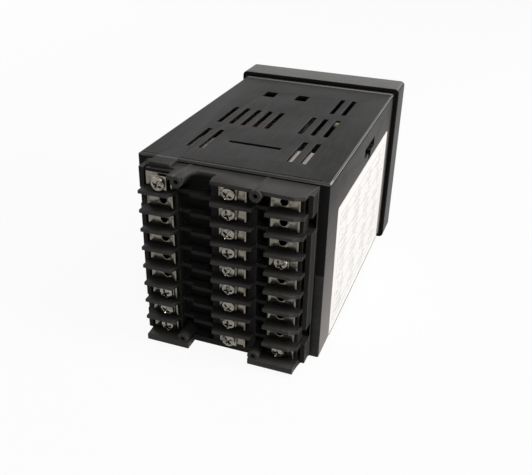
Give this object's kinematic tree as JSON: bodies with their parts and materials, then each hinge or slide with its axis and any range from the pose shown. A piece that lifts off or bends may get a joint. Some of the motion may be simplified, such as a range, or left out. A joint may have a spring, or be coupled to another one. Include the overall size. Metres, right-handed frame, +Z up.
{
  "type": "pid temperature controller",
  "caption": "Panel-mounted process temperature controller: square bezel with display and push keys, long vented case and a rear barrier block of screw terminals.",
  "frame": {"origin": "centre of the bezel's back face, which seats on the panel", "axes": "+Y back through the case to the terminals, +Z up, the display faces -Y"},
  "size_m": [0.096, 0.1728, 0.096],
  "materials": {
    "case": "fine moulded texture",
    "bezel": "fine moulded texture",
    "panel": "satin",
    "window": "smoked",
    "keys": "satin",
    "lamps": "clear, unlit",
    "block": "moulded",
    "contacts": "nickel plated",
    "screws": "nickel plated",
    "label": "matt printed film",
    "board": "glass fibre board, green mask",
    "header": "moulded",
    "display": "potted",
    "core": "varnished steel laminations",
    "tape": "polyester tape",
    "relay": "moulded",
    "film": "dipped",
    "sleeve": "shrink sleeve",
    "sink": "mill finish",
    "chip": "moulded"
  },
  "bodies": {
    "case": {"housing": "case", "bezel": "bezel", "front_panel": "panel", "display_window": "window", "indicator_lenses": "lamps", "terminal_block": "block", "terminal_plates_left": "contacts", "terminal_plates_middle": "contacts", "terminal_plates_right": "contacts", "terminal_screws_left": "screws", "terminal_screws_middle": "screws", "terminal_screws_right": "screws", "side_label": "label", "display_board": "board", "power_board": "board", "input_board": "board", "terminal_board": "board", "header_power": "header", "header_input": "header", "pv_display": "display", "sv_display": "display", "key_switches": "header", "transformer_core": "core", "transformer_coil": "tape", "relay_left": "relay", "relay_right": "relay", "relay_low": "relay", "film_capacitor": "film", "filter_capacitor": "sleeve", "output_capacitor": "sleeve", "heat_sink": "sink", "regulator": "chip", "micro_chip": "chip", "opto_row": "chip", "box_capacitor": "tape"},
    "set_key": {"key_set": "keys"},
    "shift_key": {"key_shift": "keys"},
    "down_key": {"key_down": "keys"},
    "up_key": {"key_up": "keys"}
  },
  "joints": [
    {"name": "set_key_press", "type": "slide", "parent": "case", "child": "set_key", "axis": [0, 1, 0], "range_m": [0, 0.0006], "stiffness_N_per_m": 400, "springref_m": -0.0015},
    {"name": "shift_key_press", "type": "slide", "parent": "case", "child": "shift_key", "axis": [0, 1, 0], "range_m": [0, 0.0006], "stiffness_N_per_m": 400, "springref_m": -0.0015},
    {"name": "down_key_press", "type": "slide", "parent": "case", "child": "down_key", "axis": [0, 1, 0], "range_m": [0, 0.0006], "stiffness_N_per_m": 400, "springref_m": -0.0015},
    {"name": "up_key_press", "type": "slide", "parent": "case", "child": "up_key", "axis": [0, 1, 0], "range_m": [0, 0.0006], "stiffness_N_per_m": 400, "springref_m": -0.0015}
  ]
}
